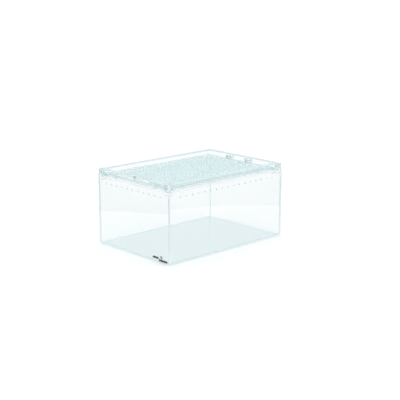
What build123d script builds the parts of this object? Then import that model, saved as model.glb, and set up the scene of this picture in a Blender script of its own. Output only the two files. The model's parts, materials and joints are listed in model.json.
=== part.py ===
from build123d import *
import os

# Clear acrylic small-pet tank with a lift-off rim and a hinged, perforated door.
# Millimetres. +Z is up and z = 0 is the underside of the floor. X is the long axis.
# left = -X is the latch end, right = +X is the hinge end, front = -Y, back = +Y.

# Overall size
length = 320.0
width = 220.0
height = 160.0

# Sheets
floor_sheet = 3.0
wall_sheet = 3.0
floor_corner_radius = 4.0

# Vent holes in the walls, one row on each wall
vent_hole_diameter = 3.0
vent_row_drop = 15.0
vent_pitch_aim = 16.5
short_wall_vent_margin = 26.0
long_wall_vent_margin = 30.0

# Lid frame
rim_height = 12.0
rim_width = 14.0
post_corner_radius = 4.0
ledge_width = 8.0
ledge_thickness = 2.0
locating_strip_thickness = 3.0
locating_strip_depth = 4.3
locating_side_clearance = 0.4
locating_end_clearance = 1.0

# Magnet blocks in the tank's top corners, and the discs that hold the lid frame
block_width = 11.0
block_height = 10.0
corner_magnet_diameter = 6.0
corner_magnet_thickness = 3.0
magnet_recess = 0.1
magnet_bore_clearance = 0.05

# Perforated door
door_thickness = 2.5
door_rest_gap = 0.3
door_side_clearance = 0.4
door_end_clearance = 0.5
perforation_diameter = 3.6
perforation_pitch = 7.5
perforation_margin = 11.0
solid_zone_margin = 1.0

# Discs that hold the door down on the left ledge
door_magnet_diameter = 5.0
door_magnet_thickness = 1.8
door_magnet_offset = 62.0

# Hinges
hinge_offset = 28.0
hinge_width = 18.6
hinge_gap = 0.3
hinge_knuckle_radius = 2.8
hinge_centre_knuckle = 8.0
hinge_pin_diameter = 2.0
hinge_running_clearance = 0.05
hinge_seat_clearance = 0.02
hinge_plate_thickness = 1.5
hinge_plate_clearance = 0.4
hinge_plate_top_margin = 1.0
hinge_knuckle_lift = 0.4
hinge_leaf_length = 20.0
hinge_leaf_thickness = 1.4
hinge_leaf_setback = 3.5

# Finger notch, latch, latch screw and latch keeper
notch_width = 100.0
notch_depth = 5.0
notch_corner_radius = 2.0
washer_thickness = 0.6
washer_diameter = 8.0
latch_axial_gap = 0.05
latch_thickness = 2.4
latch_width = 9.0
latch_reach = 25.5
latch_edge_radius = 0.4
latch_running_clearance = 0.08
screw_diameter = 3.0
screw_head_diameter = 6.0
screw_head_thickness = 1.6
screw_depth = 5.0
screw_seat_clearance = 0.05
screw_slot_width = 0.9
screw_slot_depth = 0.6
keeper_width = 12.0
keeper_length = 14.0
keeper_gap = 0.45

# Pull tab
tab_width = 30.0
tab_base_length = 11.0
tab_base_thickness = 1.6
tab_wall_thickness = 2.4
tab_centre_offset = -29.0
tab_top_margin = 1.0
tab_edge_radius = 0.8

# Printed mark on the left panel: a long bar, a short bar one step up, and a paw print
mark_ink_thickness = 0.15
mark_front_margin = 5.5
mark_long_bar = 26.0
mark_short_bar = 18.0
mark_bar_height = 4.2
mark_bar_step = 3.6
mark_low_height = 5.4
paw_offset = 8.0
paw_rise = 4.9
paw_pad_radius = 2.0
paw_toe_radius = 0.9
paw_toe_reach = 3.6
paw_toe_angles = (35.0, 72.0, 108.0, 145.0)

# Worked out from the sizes above
half_length = length / 2
half_width = width / 2
wall_top = height - rim_height
inner_half_length = half_length - wall_sheet
inner_half_width = half_width - wall_sheet
rim_inner_half_length = half_length - rim_width
rim_inner_half_width = half_width - rim_width
ledge_top = wall_top + ledge_thickness
door_bottom = ledge_top + door_rest_gap
door_top = door_bottom + door_thickness
door_left = -(rim_inner_half_length - door_end_clearance)
door_half_width = rim_inner_half_width - door_side_clearance
hinge_plate_inner = rim_inner_half_length - hinge_plate_thickness
hinge_x = hinge_plate_inner - hinge_plate_clearance - hinge_knuckle_radius
hinge_z = door_top + hinge_knuckle_lift + hinge_knuckle_radius
magnet_centre_x = inner_half_length - block_width / 2
magnet_centre_y = inner_half_width - block_width / 2
door_magnet_x = -(rim_inner_half_length - ledge_width / 2)
notch_floor = height - notch_depth
latch_x = -(half_length - rim_width / 2)
latch_bottom = notch_floor + washer_thickness + latch_axial_gap
latch_top = latch_bottom + latch_thickness
screw_head_bottom = latch_top + latch_axial_gap
screw_radius = screw_diameter / 2

long_axis_sides = {"left": -1, "right": 1}
cross_axis_sides = {"front": -1, "back": 1}


def span(side, near, far):
    """Limits between two distances from the centre, on the side given by its sign."""
    return sorted((side * near, side * far))


def block(x_span, y_span, z_span):
    """Rectangular block between three pairs of limits."""
    spans = (x_span, y_span, z_span)
    size = [high - low for low, high in spans]
    centre = [(low + high) / 2 for low, high in spans]
    return Pos(*centre) * Box(*size)


def upright(radius, x, y, z_span):
    """Round bar or bore along Z."""
    low, high = z_span
    return Pos(x, y, (low + high) / 2) * Cylinder(radius, high - low)


def crosswise(radius, x, z, y_span):
    """Round bar or bore along Y."""
    low, high = y_span
    return Pos(x, (low + high) / 2, z) * Rot(90, 0, 0) * Cylinder(radius, high - low)


def even_row(reach, pitch_aim):
    """Positions from -reach to +reach, evenly spaced, as near to the aimed pitch as fits."""
    gaps = max(1, round(2 * reach / pitch_aim))
    return [-reach + 2 * reach * step / gaps for step in range(gaps + 1)]


def drilled_sheet(x_span, y_span, thickness, centres, hole_diameter):
    """Flat sheet on the XY plane, drilled right through at the given centres."""
    (left, right), (bottom, top) = x_span, y_span
    corners = [(left, bottom), (right, bottom), (right, top), (left, top)]
    outline = Wire.make_polygon([Vector(x, y) for x, y in corners])
    holes = [Wire.make_circle(hole_diameter / 2, Plane((x, y, 0))) for x, y in centres]
    return Solid.extrude(Face(outline, holes), Vector(0, 0, thickness))


def magnet_bore(x, y, z_span, diameter):
    """Bore that leaves a glue gap around a disc magnet."""
    return upright(diameter / 2 + magnet_bore_clearance, x, y, z_span)


# ---- Tank -------------------------------------------------------------------

def make_floor_panel():
    """Floor sheet with rounded corners. The walls stand on it."""
    return extrude(RectangleRounded(length, width, floor_corner_radius), floor_sheet)


def make_wall(half_span, vent_margin_half_span, plane):
    """Wall sheet with one row of vent holes under its top edge."""
    tall = wall_top - floor_sheet
    row = even_row(vent_margin_half_span, vent_pitch_aim)
    centres = [(place, tall - vent_row_drop) for place in row]
    sheet = drilled_sheet((-half_span, half_span), (0, tall), wall_sheet, centres, vent_hole_diameter)
    return plane.location * sheet


def make_long_wall(high_face):
    """Front or back panel, between the short walls. The sheet reaches from high_face towards -Y."""
    plane = Plane((0, high_face, floor_sheet), x_dir=(1, 0, 0), z_dir=(0, -1, 0))
    return make_wall(inner_half_length, half_length - long_wall_vent_margin, plane)


def make_short_wall(low_face):
    """Left or right panel, as wide as the tank. The sheet reaches from low_face towards +X."""
    plane = Plane((low_face, 0, floor_sheet), x_dir=(0, 1, 0), z_dir=(1, 0, 0))
    return make_wall(half_width, half_width - short_wall_vent_margin, plane)


def make_mark():
    """Ink of the printed mark, flush with the left face: two stepped bars and a paw print."""
    meeting_y = -half_width + mark_front_margin + mark_long_bar
    plane = Plane((-half_length + mark_ink_thickness, meeting_y, mark_low_height),
                  x_dir=(0, -1, 0), z_dir=(-1, 0, 0))
    shapes = [Pos(mark_long_bar / 2, 0) * SlotOverall(mark_long_bar, mark_bar_height),
              Pos(-mark_short_bar / 2, mark_bar_step) * SlotOverall(mark_short_bar, mark_bar_height),
              Pos(paw_offset, paw_rise) * Circle(paw_pad_radius)]
    for angle in paw_toe_angles:
        toe = Vector(paw_toe_reach, 0).rotate(Axis.Z, angle)
        shapes.append(Pos(paw_offset + toe.X, paw_rise + toe.Y) * Circle(paw_toe_radius))
    return Compound([extrude(plane * shape, mark_ink_thickness).solid() for shape in shapes])


def make_corner_block(x_side, y_side):
    """Block glued into a top corner of the tank, bored from above for its magnet."""
    body = block(span(x_side, inner_half_length - block_width, inner_half_length),
                 span(y_side, inner_half_width - block_width, inner_half_width),
                 (wall_top - block_height, wall_top))
    bore_bottom = wall_top - magnet_recess - corner_magnet_thickness
    x = x_side * magnet_centre_x
    y = y_side * magnet_centre_y
    return body - magnet_bore(x, y, (bore_bottom, wall_top), corner_magnet_diameter)


def make_corner_magnets(bottom):
    """One disc over each corner, all with their undersides at the given height."""
    top = bottom + corner_magnet_thickness
    return Compound([upright(corner_magnet_diameter / 2, x_side * magnet_centre_x, y_side * magnet_centre_y,
                             (bottom, top)).solid()
                     for x_side in (-1, 1) for y_side in (-1, 1)])


# ---- Lid frame --------------------------------------------------------------

def make_long_rim_bar(y_side):
    """Front or back rim bar, between the corner posts."""
    return block((-rim_inner_half_length, rim_inner_half_length),
                 span(y_side, rim_inner_half_width, half_width), (wall_top, height))


def make_short_rim_bar(x_side):
    """Left or right rim bar, between the corner posts."""
    return block(span(x_side, rim_inner_half_length, half_length),
                 (-rim_inner_half_width, rim_inner_half_width), (wall_top, height))


def make_left_rim_bar():
    """Left rim bar with the finger notch and the hole for the latch screw."""
    notch = block((-half_length, -rim_inner_half_length), (-notch_width / 2, notch_width / 2),
                  (notch_floor, height + notch_depth))
    foot_edges = notch.edges().filter_by(Axis.X).group_by(Axis.Z)[0]
    notch = fillet(foot_edges, notch_corner_radius)
    hole = upright(screw_radius + screw_seat_clearance, latch_x, 0, (notch_floor - screw_depth, notch_floor))
    return make_short_rim_bar(-1) - notch - hole


def make_corner_post(x_side, y_side):
    """Corner post with its outer edge rounded, bored from below for its magnet."""
    post = block(span(x_side, rim_inner_half_length, half_length),
                 span(y_side, rim_inner_half_width, half_width), (wall_top, height))
    corner = Vector(x_side * half_length, y_side * half_width, (wall_top + height) / 2)
    outer_edge = post.edges().filter_by(Axis.Z).sort_by_distance(corner)[0]
    bore_top = wall_top + magnet_recess + corner_magnet_thickness
    x = x_side * magnet_centre_x
    y = y_side * magnet_centre_y
    return fillet(outer_edge, post_corner_radius) - magnet_bore(x, y, (wall_top, bore_top), corner_magnet_diameter)


def make_long_ledge(y_side):
    """Ledge along the front or back rim bar, as long as the opening."""
    return block((-rim_inner_half_length, rim_inner_half_length),
                 span(y_side, rim_inner_half_width - ledge_width, rim_inner_half_width), (wall_top, ledge_top))


def make_short_ledge(x_side):
    """Ledge along the left or right rim bar, between the long ledges."""
    reach = rim_inner_half_width - ledge_width
    return block(span(x_side, rim_inner_half_length - ledge_width, rim_inner_half_length),
                 (-reach, reach), (wall_top, ledge_top))


def make_left_ledge():
    """Left ledge, bored from above for the two magnets that hold the door."""
    ledge = make_short_ledge(-1)
    for side in (-1, 1):
        bore_bottom = ledge_top - door_magnet_thickness
        ledge -= magnet_bore(door_magnet_x, side * door_magnet_offset, (bore_bottom, ledge_top),
                             door_magnet_diameter)
    return ledge


def make_long_locating_strip(y_side):
    """Strip under the front or back rim bar, just inside the wall."""
    outer = inner_half_width - locating_side_clearance
    reach = inner_half_length - block_width - locating_end_clearance
    return block((-reach, reach), span(y_side, outer - locating_strip_thickness, outer),
                 (wall_top - locating_strip_depth, wall_top))


def make_short_locating_strip(x_side):
    """Strip under the left or right rim bar, just inside the wall."""
    outer = inner_half_length - locating_side_clearance
    reach = inner_half_width - block_width - locating_end_clearance
    return block(span(x_side, outer - locating_strip_thickness, outer), (-reach, reach),
                 (wall_top - locating_strip_depth, wall_top))


def make_door_magnet_pair(bottom):
    """Two discs at the door's free end, with their undersides at the given height."""
    top = bottom + door_magnet_thickness
    return Compound([upright(door_magnet_diameter / 2, door_magnet_x, side * door_magnet_offset,
                             (bottom, top)).solid() for side in (-1, 1)])


# ---- Hinges -----------------------------------------------------------------

def hinge_spans(y_side):
    """Limits along Y of a whole hinge and of its centre knuckle."""
    centre = y_side * hinge_offset
    whole = (centre - hinge_width / 2, centre + hinge_width / 2)
    middle = (centre - hinge_centre_knuckle / 2, centre + hinge_centre_knuckle / 2)
    return whole, middle


def make_hinge_bracket(y_side):
    """Bracket on the right rim bar: a plate with two outer knuckles."""
    whole, middle = hinge_spans(y_side)
    outer_knuckles = ((whole[0], middle[0] - hinge_gap), (middle[1] + hinge_gap, whole[1]))
    web = (hinge_z - hinge_knuckle_radius, hinge_z + hinge_knuckle_radius)
    bracket = block((hinge_plate_inner, rim_inner_half_length), whole,
                    (door_bottom, height - hinge_plate_top_margin))
    for y_span in outer_knuckles:
        bracket += crosswise(hinge_knuckle_radius, hinge_x, hinge_z, y_span)
        bracket += block((hinge_x, hinge_plate_inner), y_span, web)
    return bracket - crosswise(hinge_pin_diameter / 2 + hinge_seat_clearance, hinge_x, hinge_z, whole)


def make_hinge_leaf(y_side):
    """Leaf on the door: a plate, a tongue and the centre knuckle."""
    whole, middle = hinge_spans(y_side)
    plate_right = hinge_x - hinge_leaf_setback
    plate_top = door_top + hinge_leaf_thickness
    leaf = block((hinge_x - hinge_leaf_length, plate_right), whole, (door_top, plate_top))
    leaf += block((plate_right - hinge_leaf_thickness, hinge_x), middle, (door_top, hinge_z))
    leaf += crosswise(hinge_knuckle_radius, hinge_x, hinge_z, middle)
    return leaf - crosswise(hinge_pin_diameter / 2 + hinge_running_clearance, hinge_x, hinge_z, middle)


def make_hinge_pins():
    """The two hinge pins."""
    return Compound([crosswise(hinge_pin_diameter / 2, hinge_x, hinge_z, hinge_spans(side)[0]).solid()
                     for side in (-1, 1)])


# ---- Door -------------------------------------------------------------------

def solid_zones():
    """Stretches of the door that are left undrilled, under what is glued to it."""
    zones = [((hinge_x - hinge_leaf_length, hinge_x), hinge_spans(side)[0]) for side in (-1, 1)]
    tab_span = (tab_centre_offset - tab_width / 2, tab_centre_offset + tab_width / 2)
    zones.append(((door_left, door_left + tab_base_length), tab_span))
    zones.append(((door_left, door_left + keeper_length), (-keeper_width / 2, keeper_width / 2)))
    for side in (-1, 1):
        reach = door_magnet_diameter / 2 + magnet_bore_clearance
        centre = side * door_magnet_offset
        zones.append(((door_magnet_x - reach, door_magnet_x + reach), (centre - reach, centre + reach)))
    return zones


def is_clear(x, y, zones):
    """Whether a perforation at this place misses every undrilled zone."""
    keep_off = perforation_diameter / 2 + solid_zone_margin
    return all(x < low_x - keep_off or x > high_x + keep_off or y < low_y - keep_off or y > high_y + keep_off
               for (low_x, high_x), (low_y, high_y) in zones)


def make_vent_panel():
    """Perforated door sheet with two blind bores underneath for its magnets."""
    centre_x = (door_left + hinge_x) / 2
    reach_x = (hinge_x - door_left) / 2 - perforation_margin
    reach_y = door_half_width - perforation_margin
    zones = solid_zones()
    centres = [(centre_x + x, y)
               for x in even_row(reach_x, perforation_pitch)
               for y in even_row(reach_y, perforation_pitch)
               if is_clear(centre_x + x, y, zones)]
    panel = drilled_sheet((door_left, hinge_x), (-door_half_width, door_half_width), door_thickness,
                          centres, perforation_diameter)
    panel = Pos(0, 0, door_bottom) * panel
    bore_top = door_bottom + door_magnet_thickness
    for side in (-1, 1):
        panel -= magnet_bore(door_magnet_x, side * door_magnet_offset, (door_bottom, bore_top),
                             door_magnet_diameter)
    return panel


def make_pull_tab():
    """L-shaped tab on the door's free end, beside the finger notch."""
    y_span = (tab_centre_offset - tab_width / 2, tab_centre_offset + tab_width / 2)
    tab = block((door_left, door_left + tab_base_length), y_span, (door_top, door_top + tab_base_thickness))
    tab += block((door_left, door_left + tab_wall_thickness), y_span, (door_top, height - tab_top_margin))
    top_edges = tab.edges().filter_by(Axis.Y).group_by(Axis.Z)[-1]
    return fillet(top_edges, tab_edge_radius)


def make_latch_keeper():
    """Pad on the door that the latch arm turns over."""
    return block((door_left, door_left + keeper_length), (-keeper_width / 2, keeper_width / 2),
                 (door_top, latch_bottom - keeper_gap))


# ---- Latch ------------------------------------------------------------------

def make_latch_arm():
    """Arm with rounded ends, bored for the screw. At rest it lies along the notch, off the door."""
    half_latch = latch_width / 2
    reach = latch_reach + half_latch
    outline = Pos(latch_x, reach / 2 - half_latch) * SlotOverall(reach, latch_width, rotation=90)
    arm = Pos(0, 0, latch_bottom) * extrude(outline, latch_thickness)
    top_edges = arm.edges().group_by(Axis.Z)[-1]
    arm = fillet(top_edges, latch_edge_radius)
    bore = upright(screw_radius + latch_running_clearance, latch_x, 0, (latch_bottom, latch_top))
    return arm - bore


def make_latch_screw():
    """Screw with a slotted flat head, seated in the left rim bar."""
    head_top = screw_head_bottom + screw_head_thickness
    screw = upright(screw_head_diameter / 2, latch_x, 0, (screw_head_bottom, head_top))
    screw = screw + upright(screw_radius, latch_x, 0, (notch_floor - screw_depth, screw_head_bottom))
    half_slot = screw_slot_width / 2
    slot = block((latch_x - half_slot, latch_x + half_slot), (-screw_head_diameter, screw_head_diameter),
                 (head_top - screw_slot_depth, head_top))
    return screw - slot


def make_latch_washer():
    """Washer between the notch floor and the latch arm."""
    z_span = (notch_floor, notch_floor + washer_thickness)
    disc = upright(washer_diameter / 2, latch_x, 0, z_span)
    return disc - upright(screw_radius + screw_seat_clearance, latch_x, 0, z_span)


# ---- Assembly ---------------------------------------------------------------

def make_nodes():
    """Every sub-part, by the name of its file."""
    mark = make_mark()
    nodes = {
        "floor_panel": make_floor_panel(),
        "front_panel": make_long_wall(-inner_half_width),
        "back_panel": make_long_wall(half_width),
        "left_panel": make_short_wall(-half_length) - mark,
        "right_panel": make_short_wall(inner_half_length),
        "printed_mark": mark,
        "tank_magnets": make_corner_magnets(wall_top - magnet_recess - corner_magnet_thickness),
        "front_rim_bar": make_long_rim_bar(-1),
        "back_rim_bar": make_long_rim_bar(1),
        "left_rim_bar": make_left_rim_bar(),
        "right_rim_bar": make_short_rim_bar(1),
        "lid_magnets": make_corner_magnets(wall_top + magnet_recess),
        "left_ledge": make_left_ledge(),
        "right_ledge": make_short_ledge(1),
        "ledge_magnets": make_door_magnet_pair(ledge_top - door_magnet_thickness),
        "hinge_pins": make_hinge_pins(),
        "vent_panel": make_vent_panel(),
        "door_magnets": make_door_magnet_pair(door_bottom),
        "pull_tab": make_pull_tab(),
        "latch_keeper": make_latch_keeper(),
        "latch_arm": make_latch_arm(),
        "latch_screw": make_latch_screw(),
        "latch_washer": make_latch_washer(),
    }
    for y_name, y_side in cross_axis_sides.items():
        nodes[f"{y_name}_ledge"] = make_long_ledge(y_side)
        nodes[f"{y_name}_locating_strip"] = make_long_locating_strip(y_side)
        nodes[f"{y_name}_hinge_bracket"] = make_hinge_bracket(y_side)
        nodes[f"{y_name}_hinge_leaf"] = make_hinge_leaf(y_side)
        for x_name, x_side in long_axis_sides.items():
            nodes[f"{y_name}_{x_name}_corner_block"] = make_corner_block(x_side, y_side)
            nodes[f"{y_name}_{x_name}_corner_post"] = make_corner_post(x_side, y_side)
    for x_name, x_side in long_axis_sides.items():
        nodes[f"{x_name}_locating_strip"] = make_short_locating_strip(x_side)
    return nodes


os.makedirs("parts", exist_ok=True)
for node_name, node_shape in make_nodes().items():
    export_step(node_shape, f"parts/{node_name}.step")
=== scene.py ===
# %% [markdown]
# # A clear acrylic hamster tank
# The tank is glued up from 3 mm sheet. A rim of thick bars lifts off it, and a perforated
# door hinges up inside the rim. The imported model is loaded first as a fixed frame: it gives
# every size and place, and each new piece below is shaped around it.

# %% Load the frame
import json
import math

import bmesh
import bpy
from mathutils import Matrix, Vector


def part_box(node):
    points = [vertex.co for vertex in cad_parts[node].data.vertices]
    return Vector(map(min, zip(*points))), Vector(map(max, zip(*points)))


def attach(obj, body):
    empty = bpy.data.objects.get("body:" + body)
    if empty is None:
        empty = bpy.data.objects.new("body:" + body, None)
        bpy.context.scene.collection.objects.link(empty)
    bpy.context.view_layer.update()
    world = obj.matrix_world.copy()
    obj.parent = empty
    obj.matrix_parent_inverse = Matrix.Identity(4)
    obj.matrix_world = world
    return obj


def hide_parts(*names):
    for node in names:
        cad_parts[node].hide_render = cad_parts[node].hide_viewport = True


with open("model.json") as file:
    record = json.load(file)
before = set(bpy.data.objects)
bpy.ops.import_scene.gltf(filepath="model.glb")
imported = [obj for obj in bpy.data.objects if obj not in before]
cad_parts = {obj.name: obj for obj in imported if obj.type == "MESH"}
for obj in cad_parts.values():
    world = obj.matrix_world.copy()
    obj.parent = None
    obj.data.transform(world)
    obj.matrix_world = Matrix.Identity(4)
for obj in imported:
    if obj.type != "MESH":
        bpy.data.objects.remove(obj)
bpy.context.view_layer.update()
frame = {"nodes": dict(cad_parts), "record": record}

scene = bpy.context.scene
nodes = frame["nodes"]
body_of = {}
for body, members in frame["record"]["behaviour"]["bodies"].items():
    for node in members:
        body_of[node] = body
MM = 0.001

# %% [markdown]
# ## Camera
# A long lens from well above the near corner keeps the tank's edges almost parallel, which
# suits a box. The camera turns about the middle of the tank's base, then slides sideways
# and up without turning, so that the tank sits where it should in the frame.

# %% Camera
CAMERA_AZIMUTH = math.radians(-43.23)
CAMERA_ELEVATION = math.radians(13.69)
CAMERA_DISTANCE = 2.1212
CAMERA_SLIDE_RIGHT = 0.0184
CAMERA_SLIDE_UP = 0.0837
CAMERA_LENS = 89.6
SENSOR_WIDTH = 36.0
CAMERA_SEES_TO = 200.0

camera_data = bpy.data.cameras.new("camera")
camera_data.lens = CAMERA_LENS
camera_data.sensor_width = SENSOR_WIDTH
camera_data.clip_end = CAMERA_SEES_TO
camera = bpy.data.objects.new("camera", camera_data)
scene.collection.objects.link(camera)
turn = Matrix.Rotation(CAMERA_AZIMUTH, 4, "Z") @ Matrix.Rotation(math.pi / 2 - CAMERA_ELEVATION, 4, "X")
slide = Matrix.Translation((CAMERA_SLIDE_RIGHT, CAMERA_SLIDE_UP, CAMERA_DISTANCE))
camera.matrix_world = turn @ slide
scene.camera = camera
print("camera at", [round(v, 3) for v in camera.matrix_world.translation])

# %% [markdown]
# ## Stage and light
# Clear acrylic has no colour of its own to speak of, so it is drawn by what it bends and
# mirrors. A plain white floor under an even white sky gives a clean ground. The sky is dimmer
# near the horizon, because edges and bevels turn the view that way and need something darker
# to show. Around the tank stand two rings of card that only mirror reflections see, like the
# walls of a light tent. The low one is dark, and gives the upper part of each wall its
# slightly darker sheen. The high one is a pale blue-green, and tints the flat top, which is
# seen at a shallow angle and so mirrors strongly.

# %% Floor
FLOOR_DROP = 0.2 * MM
FLOOR_HALF_SIZE = 40.0
FLOOR_WHITE = 0.93


def plain_material(name, colour, roughness):
    """Material with one Principled shader, for the stage."""
    material = bpy.data.materials.new(name)
    material.use_nodes = True
    shader = material.node_tree.nodes["Principled BSDF"]
    shader.inputs["Base Color"].default_value = (*colour, 1.0)
    shader.inputs["Roughness"].default_value = roughness
    shader.inputs["Specular IOR Level"].default_value = 0.0
    return material


def stage_object(name, bm, material):
    """Object that belongs to the studio and not to the tank."""
    mesh = bpy.data.meshes.new(name)
    bm.to_mesh(mesh)
    bm.free()
    mesh.materials.append(material)
    piece = bpy.data.objects.new(name, mesh)
    scene.collection.objects.link(piece)
    return piece


floor_bm = bmesh.new()
bmesh.ops.create_grid(floor_bm, x_segments=1, y_segments=1, size=FLOOR_HALF_SIZE)
bmesh.ops.translate(floor_bm, verts=floor_bm.verts, vec=(0, 0, -FLOOR_DROP))
stage_object("studio_floor", floor_bm, plain_material("studio_floor_white", (FLOOR_WHITE,) * 3, 1.0))
print("floor laid", FLOOR_DROP, "m under the tank")

# %% Card rings
RING_RADIUS = 0.46
RING_SPLIT = 0.13
RING_TOP = 1.1
RING_SIDES = 96
LOW_CARD = (0.0, 0.24, 0.28)
HIGH_CARD = (0.48, 0.72, 0.74)


def card_ring(name, low, high, colour):
    """Ring of softly glowing card that only mirror reflections see."""
    bm = bmesh.new()
    bmesh.ops.create_cone(bm, cap_ends=False, segments=RING_SIDES, radius1=RING_RADIUS,
                          radius2=RING_RADIUS, depth=high - low)
    bmesh.ops.translate(bm, verts=bm.verts, vec=(0, 0, (low + high) / 2))
    material = bpy.data.materials.new(name)
    material.use_nodes = True
    tree = material.node_tree
    tree.nodes.remove(tree.nodes["Principled BSDF"])
    glow = tree.nodes.new("ShaderNodeEmission")
    glow.inputs["Color"].default_value = (*colour, 1.0)
    tree.links.new(glow.outputs["Emission"], tree.nodes["Material Output"].inputs["Surface"])
    ring = stage_object(name, bm, material)
    ring.visible_camera = False
    ring.visible_diffuse = False
    ring.visible_transmission = False
    ring.visible_volume_scatter = False
    ring.visible_shadow = False
    print(name, "stands", RING_RADIUS, "m out")


card_ring("low_card_ring", 0.0, RING_SPLIT, LOW_CARD)
card_ring("high_card_ring", RING_SPLIT, RING_TOP, HIGH_CARD)

# %% Sky and lamps
SKY_HORIZON = 0.85
SKY_ZENITH = 1.0
SKY_BLUE = (1.0, 1.01, 1.02)
ZENITH_STARTS = 0.75
SUN_STRENGTH = 0.46
SUN_ANGLE = math.radians(100)

world = bpy.data.worlds.new("studio_sky")
world.use_nodes = True
scene.world = world
sky_tree = world.node_tree
sky_out = sky_tree.nodes["World Output"]
sky_lit = sky_tree.nodes["Background"]
sky_seen = sky_tree.nodes.new("ShaderNodeBackground")
sky_seen.inputs["Color"].default_value = (1.0, 1.0, 1.0, 1.0)
sky_place = sky_tree.nodes.new("ShaderNodeTexCoord")
sky_split = sky_tree.nodes.new("ShaderNodeSeparateXYZ")
sky_ramp = sky_tree.nodes.new("ShaderNodeValToRGB")
sky_ramp.color_ramp.elements[0].position = 0.0
sky_ramp.color_ramp.elements[0].color = (*(SKY_HORIZON * share for share in SKY_BLUE), 1.0)
sky_ramp.color_ramp.elements[1].position = ZENITH_STARTS
sky_ramp.color_ramp.elements[1].color = (SKY_ZENITH, SKY_ZENITH, SKY_ZENITH, 1.0)
sky_path = sky_tree.nodes.new("ShaderNodeLightPath")
sky_mix = sky_tree.nodes.new("ShaderNodeMixShader")
sky_tree.links.new(sky_place.outputs["Generated"], sky_split.inputs["Vector"])
sky_tree.links.new(sky_split.outputs["Z"], sky_ramp.inputs["Fac"])
sky_tree.links.new(sky_ramp.outputs["Color"], sky_lit.inputs["Color"])
sky_tree.links.new(sky_path.outputs["Is Camera Ray"], sky_mix.inputs["Fac"])
sky_tree.links.new(sky_lit.outputs["Background"], sky_mix.inputs[1])
sky_tree.links.new(sky_seen.outputs["Background"], sky_mix.inputs[2])
sky_tree.links.new(sky_mix.outputs["Shader"], sky_out.inputs["Surface"])

sun_data = bpy.data.lights.new("overhead_softbox", "SUN")
sun_data.energy = SUN_STRENGTH
sun_data.angle = SUN_ANGLE
sun = bpy.data.objects.new("overhead_softbox", sun_data)
scene.collection.objects.link(sun)

scene.view_settings.view_transform = "Standard"
scene.cycles.caustics_refractive = False
scene.cycles.caustics_reflective = False
scene.cycles.max_bounces = 32
scene.cycles.transmission_bounces = 32
scene.cycles.glossy_bounces = 16
scene.cycles.transparent_max_bounces = 48
print("sky", SKY_HORIZON, "to", SKY_ZENITH, "sun", SUN_STRENGTH)

# %% [markdown]
# ## Acrylic
# Cast acrylic bends light by 1.49. Its faces are glossy, with a few fine scratches and some
# dust. A long way through it looks blue-green, and a volume absorption gives that by itself.
# Cut edges and chamfers aren't polished: the laser and the scraper leave them frosted, with
# fine ridges along the sheet's thickness. That matters more than anything else here, because
# a perfectly clear edge traps light and turns black. So each face carries a number, "cut",
# from 0 for clear to 1 for frosted, and the material turns it into roughness, relief and a
# share of scattered light. Lamps shine straight through to the floor, so that the tank has
# the light shadow of a clear box.

# %% Node helpers
def link_noise(tree, coordinate, scale, detail, stretch=(1.0, 1.0, 1.0)):
    """Noise in the piece's own coordinates, stretched by a Mapping node."""
    mapping = tree.nodes.new("ShaderNodeMapping")
    mapping.inputs["Scale"].default_value = stretch
    noise = tree.nodes.new("ShaderNodeTexNoise")
    noise.inputs["Scale"].default_value = scale
    noise.inputs["Detail"].default_value = detail
    tree.links.new(coordinate, mapping.inputs["Vector"])
    tree.links.new(mapping.outputs["Vector"], noise.inputs["Vector"])
    return noise.outputs["Fac"]


def link_range(tree, value, from_low, from_high, to_low, to_high):
    """Moves a value from one range to another, clamped."""
    node = tree.nodes.new("ShaderNodeMapRange")
    node.inputs["From Min"].default_value = from_low
    node.inputs["From Max"].default_value = from_high
    node.inputs["To Min"].default_value = to_low
    node.inputs["To Max"].default_value = to_high
    tree.links.new(value, node.inputs["Value"])
    return node.outputs["Result"]


def link_math(tree, operation, first, second):
    """Math node. The second input is a socket or a plain number."""
    node = tree.nodes.new("ShaderNodeMath")
    node.operation = operation
    tree.links.new(first, node.inputs[0])
    if isinstance(second, (int, float)):
        node.inputs[1].default_value = second
    else:
        tree.links.new(second, node.inputs[1])
    return node.outputs["Value"]


def link_mix(tree, factor, first, second):
    """Mixes two colours, each a socket or a plain colour."""
    node = tree.nodes.new("ShaderNodeMix")
    node.data_type = "RGBA"
    tree.links.new(factor, node.inputs["Factor"])
    for name, colour in (("A", first), ("B", second)):
        socket = next(s for s in node.inputs if s.name == name and s.type == "RGBA")
        if isinstance(colour, tuple):
            socket.default_value = (*colour, 1.0)
        else:
            tree.links.new(colour, socket)
    return next(s for s in node.outputs if s.type == "RGBA")


def link_bump(tree, shader, height, strength, distance):
    """Fine relief for a shader, from a height."""
    bump = tree.nodes.new("ShaderNodeBump")
    bump.inputs["Strength"].default_value = strength
    bump.inputs["Distance"].default_value = distance
    tree.links.new(height, bump.inputs["Height"])
    tree.links.new(bump.outputs["Normal"], shader.inputs["Normal"])


print("node helpers ready")

# %% Acrylic material
ACRYLIC_IOR = 1.49
RIDGE_ACROSS = 2600.0
RIDGE_ALONG = 60.0
CUT_ROUGHNESS = 0.35
CUT_FROST = 0.8
BODY_COLOUR = (0.0, 0.62, 0.68)
DUST_SCALE = 900.0
DUST_BLUR = 0.10
SMEAR_SCALE = 24.0
SMEAR_BLUR = 0.02
SMEAR_SHADE = 0.992
SCRATCH_SCALE = 40.0
SCRATCH_STRETCH = (1.0, 14.0, 14.0)
SCRATCH_BLUR = 0.06
RIDGE_HEIGHT = 0.4
WAVE_SCALE = 9.0
ACRYLIC_BUMP = 0.05
ACRYLIC_RELIEF = 0.4 * MM
THROUGH_SHADE = 0.998


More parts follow.
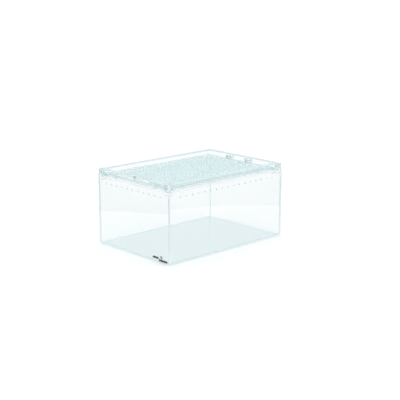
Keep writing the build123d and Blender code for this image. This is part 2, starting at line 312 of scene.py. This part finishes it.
def make_acrylic(name, thickness_axis, face_colour, edge_colour, density, haze):
    """Clear acrylic whose cut edges are ridged along one axis."""
    material = bpy.data.materials.new(name)
    material.use_nodes = True
    tree = material.node_tree
    shader = tree.nodes["Principled BSDF"]
    output = tree.nodes["Material Output"]
    place = tree.nodes.new("ShaderNodeTexCoord").outputs["Object"]

    cut = tree.nodes.new("ShaderNodeAttribute")
    cut.attribute_name = "cut"
    dust = link_range(tree, link_noise(tree, place, DUST_SCALE, 2.0), 0.68, 0.78, 0.0, 1.0)
    smear = link_range(tree, link_noise(tree, place, SMEAR_SCALE, 3.0), 0.45, 0.75, 0.0, 1.0)
    scratch_noise = link_noise(tree, place, SCRATCH_SCALE, 3.0, SCRATCH_STRETCH)
    scratch = link_range(tree, scratch_noise, 0.69, 0.72, 0.0, 1.0)

    face = link_mix(tree, smear, face_colour, tuple(SMEAR_SHADE * c for c in face_colour))
    shader_colour = link_mix(tree, cut.outputs["Fac"], face, edge_colour)
    tree.links.new(shader_colour, shader.inputs["Base Color"])

    blur = link_range(tree, smear, 0.0, 1.0, haze, haze + SMEAR_BLUR)
    for layer, share in ((dust, DUST_BLUR), (scratch, SCRATCH_BLUR), (cut.outputs["Fac"], CUT_ROUGHNESS)):
        blur = link_math(tree, "ADD", blur, link_math(tree, "MULTIPLY", layer, share))
    tree.links.new(blur, shader.inputs["Roughness"])
    clear = link_range(tree, cut.outputs["Fac"], 0.0, 1.0, 1.0, 1.0 - CUT_FROST)
    tree.links.new(clear, shader.inputs["Transmission Weight"])

    stretch = [RIDGE_ACROSS] * 3
    stretch["XYZ".index(thickness_axis)] = RIDGE_ALONG
    ridge_noise = link_noise(tree, place, 1.0, 1.0, tuple(stretch))
    ridges = link_math(tree, "MULTIPLY", ridge_noise, cut.outputs["Fac"])
    ridges = link_math(tree, "MULTIPLY", ridges, RIDGE_HEIGHT)
    relief = link_math(tree, "ADD", ridges, link_noise(tree, place, WAVE_SCALE, 1.0))
    link_bump(tree, shader, relief, ACRYLIC_BUMP, ACRYLIC_RELIEF)

    shader.inputs["IOR"].default_value = ACRYLIC_IOR

    let_through = tree.nodes.new("ShaderNodeBsdfTransparent")
    let_through.inputs["Color"].default_value = (*(THROUGH_SHADE * c for c in face_colour), 1.0)
    path = tree.nodes.new("ShaderNodeLightPath")
    surface = shader.outputs["BSDF"]
    for ray in ("Is Shadow Ray", "Is Diffuse Ray"):
        mix = tree.nodes.new("ShaderNodeMixShader")
        tree.links.new(path.outputs[ray], mix.inputs["Fac"])
        tree.links.new(surface, mix.inputs[1])
        tree.links.new(let_through.outputs["BSDF"], mix.inputs[2])
        surface = mix.outputs["Shader"]
    tree.links.new(surface, output.inputs["Surface"])

    tint = tree.nodes.new("ShaderNodeVolumeAbsorption")
    tint.inputs["Color"].default_value = (*BODY_COLOUR, 1.0)
    tint.inputs["Density"].default_value = density
    tree.links.new(tint.outputs["Volume"], output.inputs["Volume"])
    return material


WALL_FACE = (0.978, 0.986, 0.989)
WALL_EDGE = (0.92, 0.975, 0.98)
WALL_DENSITY = 1.5
clear_acrylic = {
    axis: make_acrylic(f"clear_acrylic_{axis.lower()}", axis, WALL_FACE, WALL_EDGE, WALL_DENSITY, haze=0.0)
    for axis in "XYZ"}
floor_acrylic = make_acrylic("floor_acrylic", "Z", face_colour=(0.93, 0.965, 0.967),
                             edge_colour=(0.92, 0.97, 0.975), density=3.0, haze=0.01)
vent_acrylic = make_acrylic("vent_acrylic", "Z", face_colour=(0.95, 0.98, 0.982),
                            edge_colour=(0.76, 0.88, 0.89), density=2.5, haze=0.08)
print("acrylic in", len(clear_acrylic) + 2, "kinds")

# %% [markdown]
# ## Metal and ink
# The magnets are plated with nickel, the hinge pins, washer and latch screw are turned steel,
# and the mark is flat screen-printing ink, slightly uneven in cover. A plain grey would do
# from afar, but up close a metal is told by how its gloss varies, so a fine noise drives the
# roughness and the relief, and a coarser one moves the colour between clean and worn.

# %% Metals
PATCH_SCALE = 350.0
METAL_BUMP = 0.15
METAL_RELIEF = 0.05 * MM


def make_metal(name, colour, worn_colour, roughness_low, roughness_high, grain):
    """Metal with fine grain and worn patches."""
    material = bpy.data.materials.new(name)
    material.use_nodes = True
    tree = material.node_tree
    shader = tree.nodes["Principled BSDF"]
    place = tree.nodes.new("ShaderNodeTexCoord").outputs["Object"]
    patches = link_range(tree, link_noise(tree, place, PATCH_SCALE, 3.0), 0.4, 0.7, 0.0, 1.0)
    fine = link_noise(tree, place, grain, 2.0)
    tree.links.new(link_mix(tree, patches, colour, worn_colour), shader.inputs["Base Color"])
    roughness = link_range(tree, fine, 0.3, 0.7, roughness_low, roughness_high)
    tree.links.new(roughness, shader.inputs["Roughness"])
    link_bump(tree, shader, fine, METAL_BUMP, METAL_RELIEF)
    shader.inputs["Metallic"].default_value = 1.0
    return material


nickel = make_metal("magnet_nickel", colour=(0.76, 0.78, 0.81), worn_colour=(0.62, 0.65, 0.69),
                    roughness_low=0.16, roughness_high=0.32, grain=2500.0)
steel = make_metal("turned_steel", colour=(0.80, 0.82, 0.84), worn_colour=(0.66, 0.68, 0.71),
                   roughness_low=0.2, roughness_high=0.4, grain=6000.0)
print("nickel and steel ready")

# %% Ink
INK_GRAIN = 1800.0
INK_THICK = (0.035, 0.04, 0.065)
INK_THIN = (0.09, 0.10, 0.14)
INK_BUMP = 0.2
INK_RELIEF = 0.02 * MM


def make_ink(name):
    """Screen-printing ink: flat, slightly uneven in cover."""
    material = bpy.data.materials.new(name)
    material.use_nodes = True
    tree = material.node_tree
    shader = tree.nodes["Principled BSDF"]
    place = tree.nodes.new("ShaderNodeTexCoord").outputs["Object"]
    cover = link_noise(tree, place, INK_GRAIN, 3.0)
    tree.links.new(link_mix(tree, cover, INK_THICK, INK_THIN), shader.inputs["Base Color"])
    tree.links.new(link_range(tree, cover, 0.3, 0.7, 0.45, 0.65), shader.inputs["Roughness"])
    link_bump(tree, shader, cover, INK_BUMP, INK_RELIEF)
    return material


ink = make_ink("printed_ink")
print("ink ready")

# %% [markdown]
# ## Polished sheets and bars
# Every edge of a real sheet is broken with a scraper, and the fine chamfer catches a line of
# light. A node's mesh is loose triangles, so a copy is merged, its flat triangles are
# joined into whole faces, and then its sharp edges are bevelled. The faces also draw
# back by a few hundredths of a millimetre, which leaves the hairline that shows at a glued joint.

# %% Mesh helpers
JOINT_GAP = 0.03 * MM
MERGE = 0.001 * MM
FLAT_ENOUGH = math.radians(0.5)
SQUARE = 0.9999
SHARP = math.radians(35)
SHARP_SHADING = math.radians(50)
FLAT = 0.98
ROUND_FROST = 0.9
AXES = {"X": Vector((1, 0, 0)), "Y": Vector((0, 1, 0)), "Z": Vector((0, 0, 1))}


def merged_copy(node):
    """Copy of a node's mesh, merged, with its flat triangles joined and its stored normals dropped."""
    source = nodes[node].data.copy()
    for stored in ("custom_normal", "sharp_edge", "sharp_face"):
        if stored in source.attributes:
            source.attributes.remove(source.attributes[stored])
    bm = bmesh.new()
    bm.from_mesh(source)
    bpy.data.meshes.remove(source)
    bmesh.ops.remove_doubles(bm, verts=bm.verts, dist=MERGE)
    bmesh.ops.dissolve_limit(bm, angle_limit=FLAT_ENOUGH, verts=bm.verts, edges=bm.edges)
    return bm


def bevel_sharp(bm, width, segments=2):
    """Breaks every sharp edge."""
    sharp = [edge for edge in bm.edges if edge.is_manifold and edge.calc_face_angle() > SHARP]
    made = bmesh.ops.bevel(bm, geom=sharp, offset=width, offset_type="OFFSET", segments=segments, profile=0.5,
                           affect="EDGES", clamp_overlap=True, material=-1)
    return made["faces"]


def is_square(face):
    """Whether a face is square to one of the axes."""
    return max(abs(c) for c in face.normal) > SQUARE


def draw_back(bm, gap):
    """Moves every face that is square to an axis in by the gap."""
    bm.normal_update()
    for vert in bm.verts:
        square = [face.normal for face in vert.link_faces if is_square(face)]
        shifts = {tuple(round(c) for c in normal) for normal in square}
        for shift in shifts:
            vert.co -= gap * Vector(shift)


def mark_frosted(bm, bevelled, axis, satin=0.0, round_frost=ROUND_FROST):
    """Marks how frosted each face is: bevels and a sheet's cut edges fully, the others as told."""
    layer = bm.faces.layers.float.new("cut")
    bm.normal_update()
    bevelled = set(bevelled)
    for face in bm.faces:
        if face in bevelled or (axis and abs(face.normal.dot(AXES[axis])) < FLAT):
            face[layer] = 1.0
        else:
            face[layer] = satin if is_square(face) else round_frost


def add_piece(bm, name, body, material, replaced=()):
    """Turns a bmesh into a piece of the tank. Faces square to an axis stay flat, others are smooth."""
    bm.normal_update()
    for face in bm.faces:
        face.smooth = not is_square(face)
    for edge in bm.edges:
        edge.smooth = edge.is_manifold and edge.calc_face_angle() < SHARP_SHADING
    mesh = bpy.data.meshes.new(name)
    bm.to_mesh(mesh)
    bm.free()
    mesh.materials.append(material)
    piece = bpy.data.objects.new(name, mesh)
    scene.collection.objects.link(piece)
    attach(piece, body)
    if replaced:
        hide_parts(*replaced)
    return piece


def polished(node, suffix, material, bevel, cut_axis=None, satin=0.0,
             round_frost=ROUND_FROST):
    """Polished piece in place of an acrylic node. With a cut axis its edges stay as the laser left them."""
    bm = merged_copy(node)
    draw_back(bm, JOINT_GAP)
    bevelled = bevel_sharp(bm, bevel)
    mark_frosted(bm, bevelled, cut_axis, satin, round_frost)
    return add_piece(bm, f"{node}_{suffix}", body_of[node], material, (node,))


print("mesh helpers ready")

# %% [markdown]
# ## Walls and floor
# The box is five sheets welded at their edges, and the vent holes are drilled before that.
# Each sheet could be built again from a plain box with holes cut in it, but the model's shape
# is already exact, so a polished copy keeps every hole and recess where it belongs. The cut
# edges and the walls of the holes are frosted all over, because nobody polishes those.

# %% Walls and floor
WALL_CHAMFER = 0.25 * MM
FLOOR_CHAMFER = 0.3 * MM

for node, axis in (("front_panel", "Y"), ("back_panel", "Y"), ("left_panel", "X"), ("right_panel", "X")):
    piece = polished(node, "sheet", clear_acrylic[axis], WALL_CHAMFER, axis)
    print(piece.name, len(piece.data.polygons), "faces")
piece = polished("floor_panel", "sheet", floor_acrylic, FLOOR_CHAMFER, "Z")
print(piece.name, len(piece.data.polygons), "faces")

# %% [markdown]
# ## Rim, posts, ledges and strips
# The lid is a frame of thick bars. They are polished before they are glued, so only the fine
# chamfers along their edges stay frosted, and each bar reads as bright lines with a clear
# middle. The corner posts are milled, which leaves a satin face.

# %% Rim, posts, ledges and strips
BAR_CHAMFER = 0.4 * MM
STRIP_CHAMFER = 0.2 * MM
LEDGE_CHAMFER = 0.15 * MM
BLOCK_CHAMFER = 0.12 * MM
POST_SATIN = 0.3

for side in ("front", "back", "left", "right"):
    polished(f"{side}_rim_bar", "polished", clear_acrylic["Z"], BAR_CHAMFER)
    polished(f"{side}_ledge", "polished", clear_acrylic["Z"], LEDGE_CHAMFER)
    polished(f"{side}_locating_strip", "polished", clear_acrylic["Z"], STRIP_CHAMFER)
for corner in ("front_left", "front_right", "back_left", "back_right"):
    polished(f"{corner}_corner_post", "polished", clear_acrylic["Z"], BAR_CHAMFER, satin=POST_SATIN)
    polished(f"{corner}_corner_block", "polished", clear_acrylic["Z"], BLOCK_CHAMFER)
print("frame bars, posts and blocks polished")

# %% [markdown]
# ## Hinges, tab and latch
# These small parts are cut from thinner sheet and filed by hand, so they keep a finer
# chamfer than the bars. They could be left as they come, but an unbroken edge shows no
# highlight at all, and they would vanish against the rim. The knuckles are flame-polished,
# so their round faces are nearly as clear as a flat one.

# %% Hinges, tab and latch
HINGE_CHAMFER = 0.12 * MM
HINGE_FROST = 0.1
TAB_CHAMFER = 0.2 * MM
ARM_CHAMFER = 0.15 * MM

for side in ("front", "back"):
    for part in ("bracket", "leaf"):
        polished(f"{side}_hinge_{part}", "polished", clear_acrylic["Y"], HINGE_CHAMFER,
                 round_frost=HINGE_FROST)
polished("pull_tab", "polished", clear_acrylic["Y"], TAB_CHAMFER)
polished("latch_keeper", "polished", clear_acrylic["Z"], TAB_CHAMFER)
polished("latch_arm", "polished", clear_acrylic["Z"], ARM_CHAMFER)
print("hinges, tab and latch polished")

# %% [markdown]
# ## Perforated door
# The door is one sheet, laser-drilled on a square grid. Cutting eight hundred holes with
# booleans would be slow and messy, so the sheet is laid from cells like tiles: a drilled
# cell, a plain cell for the stretches under the hinge leaves, tab and keeper, and a cell with
# a blind bore under each magnet. Every cell has the same twelve boundary edges above and
# below, so neighbours merge into one closed skin. Each hole is twelve-sided with a small lip.

# %% Cells of the door
SIDE_STEPS = 3
HOLE_SIDES = 4 * SIDE_STEPS
HOLE_TURN = math.pi / HOLE_SIDES
LIP = 0.15 * MM


def square_ring(bm, x_span, y_span, z):
    """Edges of a rectangle, each side in three steps."""
    grid = bmesh.ops.create_grid(bm, x_segments=SIDE_STEPS, y_segments=SIDE_STEPS, size=0.5)["verts"]
    size = Vector((x_span[1] - x_span[0], y_span[1] - y_span[0], 1.0))
    bmesh.ops.scale(bm, vec=size, verts=grid)
    bmesh.ops.translate(bm, verts=grid, vec=((x_span[0] + x_span[1]) / 2, (y_span[0] + y_span[1]) / 2, z))
    middle = [vert for vert in grid if not vert.is_boundary]
    rim = [vert for vert in grid if vert.is_boundary]
    bmesh.ops.delete(bm, geom=middle, context="VERTS")
    return list({edge for vert in rim for edge in vert.link_edges})


def circle_ring(bm, radius, x, y, z):
    """Edges of a twelve-sided circle, turned so that its corners face those of the rectangle."""
    circle = bmesh.ops.create_circle(bm, segments=HOLE_SIDES, radius=radius)["verts"]
    bmesh.ops.rotate(bm, verts=circle, cent=(0, 0, 0), matrix=Matrix.Rotation(HOLE_TURN, 3, "Z"))
    bmesh.ops.translate(bm, verts=circle, vec=(x, y, z))
    return list({edge for vert in circle for edge in vert.link_edges})


def drilled_cell(x_span, y_span, z_span, radius):
    """Cell with a hole right through."""
    bm = bmesh.new()
    x, y = sum(x_span) / 2, sum(y_span) / 2
    bottom, top = z_span
    rings = [square_ring(bm, x_span, y_span, top), circle_ring(bm, radius + LIP, x, y, top),
             circle_ring(bm, radius, x, y, top - LIP), circle_ring(bm, radius, x, y, bottom),
             square_ring(bm, x_span, y_span, bottom)]
    for upper, lower in zip(rings, rings[1:]):
        bmesh.ops.bridge_loops(bm, edges=upper + lower)
    return bm


def plain_cell(x_span, y_span, z_span):
    """Cell without a hole."""
    bm = bmesh.new()
    for z in z_span:
        bmesh.ops.contextual_create(bm, geom=square_ring(bm, x_span, y_span, z))
    return bm


def bored_cell(x_span, y_span, z_span, radius, x, y, bore_top):
    """Cell with a blind bore from below."""
    bm = bmesh.new()
    bottom, top = z_span
    bmesh.ops.contextual_create(bm, geom=square_ring(bm, x_span, y_span, top))
    mouth = circle_ring(bm, radius, x, y, bottom)
    roof = circle_ring(bm, radius, x, y, bore_top)
    bmesh.ops.bridge_loops(bm, edges=square_ring(bm, x_span, y_span, bottom) + mouth)
    bmesh.ops.bridge_loops(bm, edges=mouth + roof)
    bmesh.ops.contextual_create(bm, geom=roof)
    return bm


print("cells have", HOLE_SIDES, "edges on every boundary")

# %% Grid of the door
DOOR_DRAW = 0.02 * MM
PITCH_AIM = 7.5 * MM
FIELD_MARGIN = 11.0 * MM
HOLE_RADIUS = 1.8 * MM
KEEP_OFF = 1.0 * MM
BORE_RADIUS = 2.65 * MM
DOOR_MAGNET_RADIUS = 2.5 * MM
CELL_MERGE = 0.002 * MM

door_low, door_high = (Vector(corner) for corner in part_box("vent_panel"))
magnet_low, magnet_high = (Vector(corner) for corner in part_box("door_magnets"))


def cell_edges(low, high):
    """Boundaries of the cells along one side: a margin, even cells around each hole, a margin."""
    first, last = low + FIELD_MARGIN, high - FIELD_MARGIN
    steps = round((last - first) / PITCH_AIM)
    pitch = (last - first) / steps
    between = [first + (step - 0.5) * pitch for step in range(steps + 2)]
    return [low + DOOR_DRAW, *between, high - DOOR_DRAW]


columns = cell_edges(door_low.x, door_high.x)
rows = cell_edges(door_low.y, door_high.y)
z_span = (door_low.z + DOOR_DRAW, door_high.z - DOOR_DRAW)
covers = [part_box(node) for node in ("front_hinge_leaf", "back_hinge_leaf", "pull_tab", "latch_keeper")]
magnet_x = (magnet_low.x + magnet_high.x) / 2
magnet_ys = (magnet_low.y + DOOR_MAGNET_RADIUS, magnet_high.y - DOOR_MAGNET_RADIUS)


def is_covered(x, y):
    """Whether something is glued over this place on the door, with room for a hole's edge."""
    room = HOLE_RADIUS + KEEP_OFF
    return any(low.x - room < x < high.x + room and low.y - room < y < high.y + room for low, high in covers)


print("door grid of", len(columns) - 1, "by", len(rows) - 1, "cells")

# %% Lay the door
def as_mesh(bm, name):
    """Turns a finished bmesh into a mesh."""
    mesh = bpy.data.meshes.new(name)
    bm.to_mesh(mesh)
    bm.free()
    return mesh


def join_in(bm, part):
    """Adds a finished bmesh to another one."""
    mesh = as_mesh(part, "part")
    bm.from_mesh(mesh)
    bpy.data.meshes.remove(mesh)


door_bm = bmesh.new()
tile = as_mesh(drilled_cell((columns[1], columns[2]), (rows[1], rows[2]), z_span, HOLE_RADIUS), "tile")
holes = 0
for i, x_span in enumerate(zip(columns, columns[1:])):
    for j, y_span in enumerate(zip(rows, rows[1:])):
        x, y = sum(x_span) / 2, sum(y_span) / 2
        in_margin = i in (0, len(columns) - 2) or j in (0, len(rows) - 2)
        bore_y = next((place for place in magnet_ys if x_span[0] < magnet_x < x_span[1]
                       and y_span[0] < place < y_span[1]), None)
        if bore_y is not None:
            bore_top = magnet_high.z + DOOR_DRAW
            join_in(door_bm, bored_cell(x_span, y_span, z_span, BORE_RADIUS, magnet_x, bore_y, bore_top))
        elif in_margin or is_covered(x, y):
            join_in(door_bm, plain_cell(x_span, y_span, z_span))
        else:
            step = Matrix.Translation((x_span[0] - columns[1], y_span[0] - rows[1], 0))
            tile.transform(step)
            door_bm.from_mesh(tile)
            tile.transform(step.inverted())
            holes += 1
bmesh.ops.remove_doubles(door_bm, verts=door_bm.verts, dist=CELL_MERGE)
outline = [edge for edge in door_bm.edges if edge.is_boundary]
bmesh.ops.bridge_loops(door_bm, edges=outline)
bmesh.ops.recalc_face_normals(door_bm, faces=door_bm.faces)
mark_frosted(door_bm, (), "Z")
door_open_edges = sum(not edge.is_manifold for edge in door_bm.edges)
door = add_piece(door_bm, "vent_panel_drilled", body_of["vent_panel"], vent_acrylic,
                 ("vent_panel",))
print(holes, "holes,", len(door.data.polygons), "faces,", door_open_edges, "open edges")

# %% [markdown]
# ## Magnets
# The magnets are plated discs in bored seats. Plating never leaves a sharp rim: it rounds it
# by a quarter of a millimetre, and that round is the bright ring that shows through the
# acrylic. A cylinder with both rims bevelled gives it. The discs of one node make one piece.

# %% Magnets
DISC_SIDES = 48
PLATED_RIM = 0.25 * MM
CORNER_MAGNET_RADIUS = 3.0 * MM
DISC_RADIUS = {"tank_magnets": CORNER_MAGNET_RADIUS, "lid_magnets": CORNER_MAGNET_RADIUS,
               "ledge_magnets": DOOR_MAGNET_RADIUS, "door_magnets": DOOR_MAGNET_RADIUS}


def add_disc(bm, radius, x, y, low, high, rim):
    """Upright disc with both rims rounded."""
    made = bmesh.ops.create_cone(bm, cap_ends=True, segments=DISC_SIDES, radius1=radius, radius2=radius,
                                 depth=high - low)
    bmesh.ops.translate(bm, verts=made["verts"], vec=(x, y, (low + high) / 2))
    edges = {edge for vert in made["verts"] for edge in vert.link_edges}
    rims = [edge for edge in edges if edge.calc_face_angle() > SHARP]
    bmesh.ops.bevel(bm, geom=rims, offset=rim, offset_type="OFFSET", segments=3, profile=0.5,
                    affect="EDGES", clamp_overlap=True, material=-1)


for node, radius in DISC_RADIUS.items():
    low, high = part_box(node)
    bm = bmesh.new()
    places = {(round(x, 6), round(y, 6)) for x in (low.x + radius, high.x - radius)
              for y in (low.y + radius, high.y - radius)}
    for x, y in sorted(places):
        add_disc(bm, radius, x, y, low.z, high.z, PLATED_RIM)
    piece = add_piece(bm, f"{node}_plated", body_of[node], nickel, (node,))
    print(piece.name, len(places), "discs")

# %% [markdown]
# ## Hinge pins, washer and screw
# The pins are cut from ground rod: their ends are chamfered, with the small dimple that the
# parting tool leaves. The washer is stamped, so it is a flat ring with softened rims. The
# screw has a slotted head on a plain shank, and a real thread where it bites into the bar. The
# thread could come from the Screw modifier, but a spin is plainer: a zigzag profile is spun
# once about the screw while it climbs one pitch, so that the last step lands on the first one,
# a tooth higher, and the two merge into a helix.

# %% Hinge pins
PIN_CHAMFER = 0.2 * MM
PIN_DIMPLE = 0.3 * MM

low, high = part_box("hinge_pins")
pin_radius = (high.x - low.x) / 2
pins = bmesh.new()
for side in ("front", "back"):
    bracket_low, bracket_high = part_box(f"{side}_hinge_bracket")
    rod = bmesh.ops.create_cone(pins, cap_ends=True, segments=DISC_SIDES, radius1=pin_radius,
                                radius2=pin_radius, depth=bracket_high.y - bracket_low.y)["verts"]
    bmesh.ops.rotate(pins, verts=rod, cent=(0, 0, 0), matrix=Matrix.Rotation(math.pi / 2, 3, "X"))
    middle = Vector(((low.x + high.x) / 2, (bracket_low.y + bracket_high.y) / 2, (low.z + high.z) / 2))
    bmesh.ops.translate(pins, verts=rod, vec=middle)
bevel_sharp(pins, PIN_CHAMFER)
ends = [face for face in pins.faces if len(face.verts) == DISC_SIDES]
bmesh.ops.inset_individual(pins, faces=ends, thickness=PIN_DIMPLE, depth=0.0)
bmesh.ops.inset_individual(pins, faces=ends, thickness=PIN_DIMPLE / 2, depth=-PIN_DIMPLE / 2)
add_piece(pins, "hinge_pins_turned", body_of["hinge_pins"], steel, ("hinge_pins",))
print("hinge pins, radius", round(pin_radius / MM, 2), "mm, with", len(ends), "dimpled ends")

# %% Lathe helpers
def spun(outline, closed, x, y, climb=0.0):
    """Outline of radius and height, spun once about an upright axis, climbing on its way if asked."""
    bm = bmesh.new()
    verts = [bm.verts.new((x + radius, y, z)) for radius, z in outline]
    links = zip(verts, verts[1:] + verts[:1]) if closed else zip(verts, verts[1:])
    edges = [bm.edges.new(link) for link in links]
    bmesh.ops.spin(bm, geom=verts + edges, cent=(x, y, 0), axis=(0, 0, 1), dvec=(0, 0, climb / DISC_SIDES),
                   angle=2 * math.pi, steps=DISC_SIDES, use_merge=climb == 0.0)
    bmesh.ops.remove_doubles(bm, verts=bm.verts, dist=MERGE)
    return bm


def cut_square(bm, z, outwards):
    """Cuts a skin square at a height, drops what is above it (1) or below it (-1), and caps the cut."""
    geometry = bm.verts[:] + bm.edges[:] + bm.faces[:]
    cut = bmesh.ops.bisect_plane(bm, geom=geometry, plane_co=(0, 0, z), plane_no=(0, 0, outwards),
                                 clear_outer=True)
    ring = [item for item in cut["geom_cut"] if isinstance(item, bmesh.types.BMEdge)]
    bmesh.ops.contextual_create(bm, geom=ring)
    bmesh.ops.dissolve_degenerate(bm, dist=MERGE, edges=bm.edges)
    bmesh.ops.recalc_face_normals(bm, faces=bm.faces)


print("lathe turns", DISC_SIDES, "steps")

# %% Latch washer
SHANK_RADIUS = 1.5 * MM
WASHER_FIT = 0.02 * MM
WASHER_RIM = 0.1 * MM

screw_low, screw_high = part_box("latch_screw")
washer_low, washer_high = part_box("latch_washer")
screw_x = (screw_low.x + screw_high.x) / 2
washer_outer = (washer_high.x - washer_low.x) / 2
washer_inner = SHANK_RADIUS + WASHER_FIT
washer = spun([(washer_inner, washer_low.z), (washer_outer, washer_low.z), (washer_outer, washer_high.z),
               (washer_inner, washer_high.z)], True, screw_x, 0.0)
bmesh.ops.recalc_face_normals(washer, faces=washer.faces)
bevel_sharp(washer, WASHER_RIM)
add_piece(washer, "latch_washer_stamped", body_of["latch_washer"], steel, ("latch_washer",))
print("washer", round(2 * washer_outer / MM, 2), "mm across")

# %% Latch screw
THREAD_PITCH = 0.5 * MM
THREAD_DEPTH = 0.25 * MM
SPARE_TURNS = 2
HEAD_RIM = 0.15 * MM

screw = merged_copy("latch_screw")
cut_square(screw, washer_low.z, -1)
bevel_sharp(screw, HEAD_RIM)
teeth = round((washer_low.z - screw_low.z) / THREAD_PITCH)
zigzag = [(SHANK_RADIUS - THREAD_DEPTH * (step % 2), screw_low.z + (step / 2 - SPARE_TURNS) * THREAD_PITCH)
          for step in range(2 * (teeth + 2 * SPARE_TURNS) + 1)]
thread = spun(zigzag, False, screw_x, 0.0, THREAD_PITCH)
cut_square(thread, screw_low.z, -1)
cut_square(thread, washer_low.z, 1)
thread_open = sum(not edge.is_manifold for edge in thread.edges)
join_in(screw, thread)
add_piece(screw, "latch_screw_threaded", body_of["latch_screw"], steel, ("latch_screw",))
print("screw with", teeth, "turns of thread,", thread_open, "open edges")

# %% [markdown]
# ## Cement beads
# The tank is welded with acrylic cement, and a thin bead is left inside every joint. It
# matters because it is the faint line that outlines the floor through the clear walls. Each bead
# is a small face with a hollow front, extruded along its joint.

# %% Bead helper
BEAD_LEG = 0.9 * MM
BEAD_HOLLOW = 0.36
cement = make_acrylic("acrylic_cement", "Z", face_colour=(0.90, 0.95, 0.955), edge_colour=(0.80, 0.92, 0.93),
                      density=3.0, haze=0.12)


def add_bead(bm, corner, across, up, length):
    """Bead in an inside corner. across and up point away from its two faces, length is a vector along it."""
    places = (Vector((0, 0)), Vector((1, 0)), Vector((BEAD_HOLLOW, BEAD_HOLLOW)), Vector((0, 1)))
    start = corner + (across + up) * JOINT_GAP
    verts = [bm.verts.new(start + (across * place.x + up * place.y) * BEAD_LEG) for place in places]
    end = bmesh.ops.extrude_face_region(bm, geom=[bm.faces.new(verts)])["geom"]
    bmesh.ops.translate(bm, verts=[item for item in end if isinstance(item, bmesh.types.BMVert)], vec=length)


print("cement ready, legs of", BEAD_LEG / MM, "mm")

# %% Cement beads
inner_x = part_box("right_panel")[0].x
inner_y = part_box("back_panel")[0].y
floor_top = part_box("floor_panel")[1].z
block_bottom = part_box("front_left_corner_block")[0].z
clear_of_bead = BEAD_LEG + 2 * JOINT_GAP
beads = bmesh.new()
UP = Vector((0, 0, 1))
for x_side in (-1, 1):
    inwards = Vector((-x_side, 0, 0))
    reach = inner_y - clear_of_bead
    add_bead(beads, Vector((x_side * inner_x, -reach, floor_top)), inwards, UP, Vector((0, 2 * reach, 0)))
    for y_side in (-1, 1):
        corner = Vector((x_side * inner_x, y_side * inner_y, floor_top + clear_of_bead))
        rise = Vector((0, 0, block_bottom - floor_top - 2 * clear_of_bead))
        add_bead(beads, corner, inwards, Vector((0, -y_side, 0)), rise)
for y_side in (-1, 1):
    start = Vector((-inner_x + JOINT_GAP, y_side * inner_y, floor_top))
    add_bead(beads, start, Vector((0, -y_side, 0)), UP, Vector((2 * (inner_x - JOINT_GAP), 0, 0)))
bmesh.ops.recalc_face_normals(beads, faces=beads.faces)
mark_frosted(beads, (), None)
piece = add_piece(beads, "tank_cement_beads", "tank", cement)
print(piece.name, len(piece.data.polygons), "faces")

# %% [markdown]
# ## Printed mark
# The mark is one pass of screen ink, flush in the left wall. Its shape is already exact in the
# model, so only its finish is added: slightly uneven cover, and a dry, low gloss.

# %% Printed mark
nodes["printed_mark"].data.materials.clear()
nodes["printed_mark"].data.materials.append(ink)
print("mark printed")
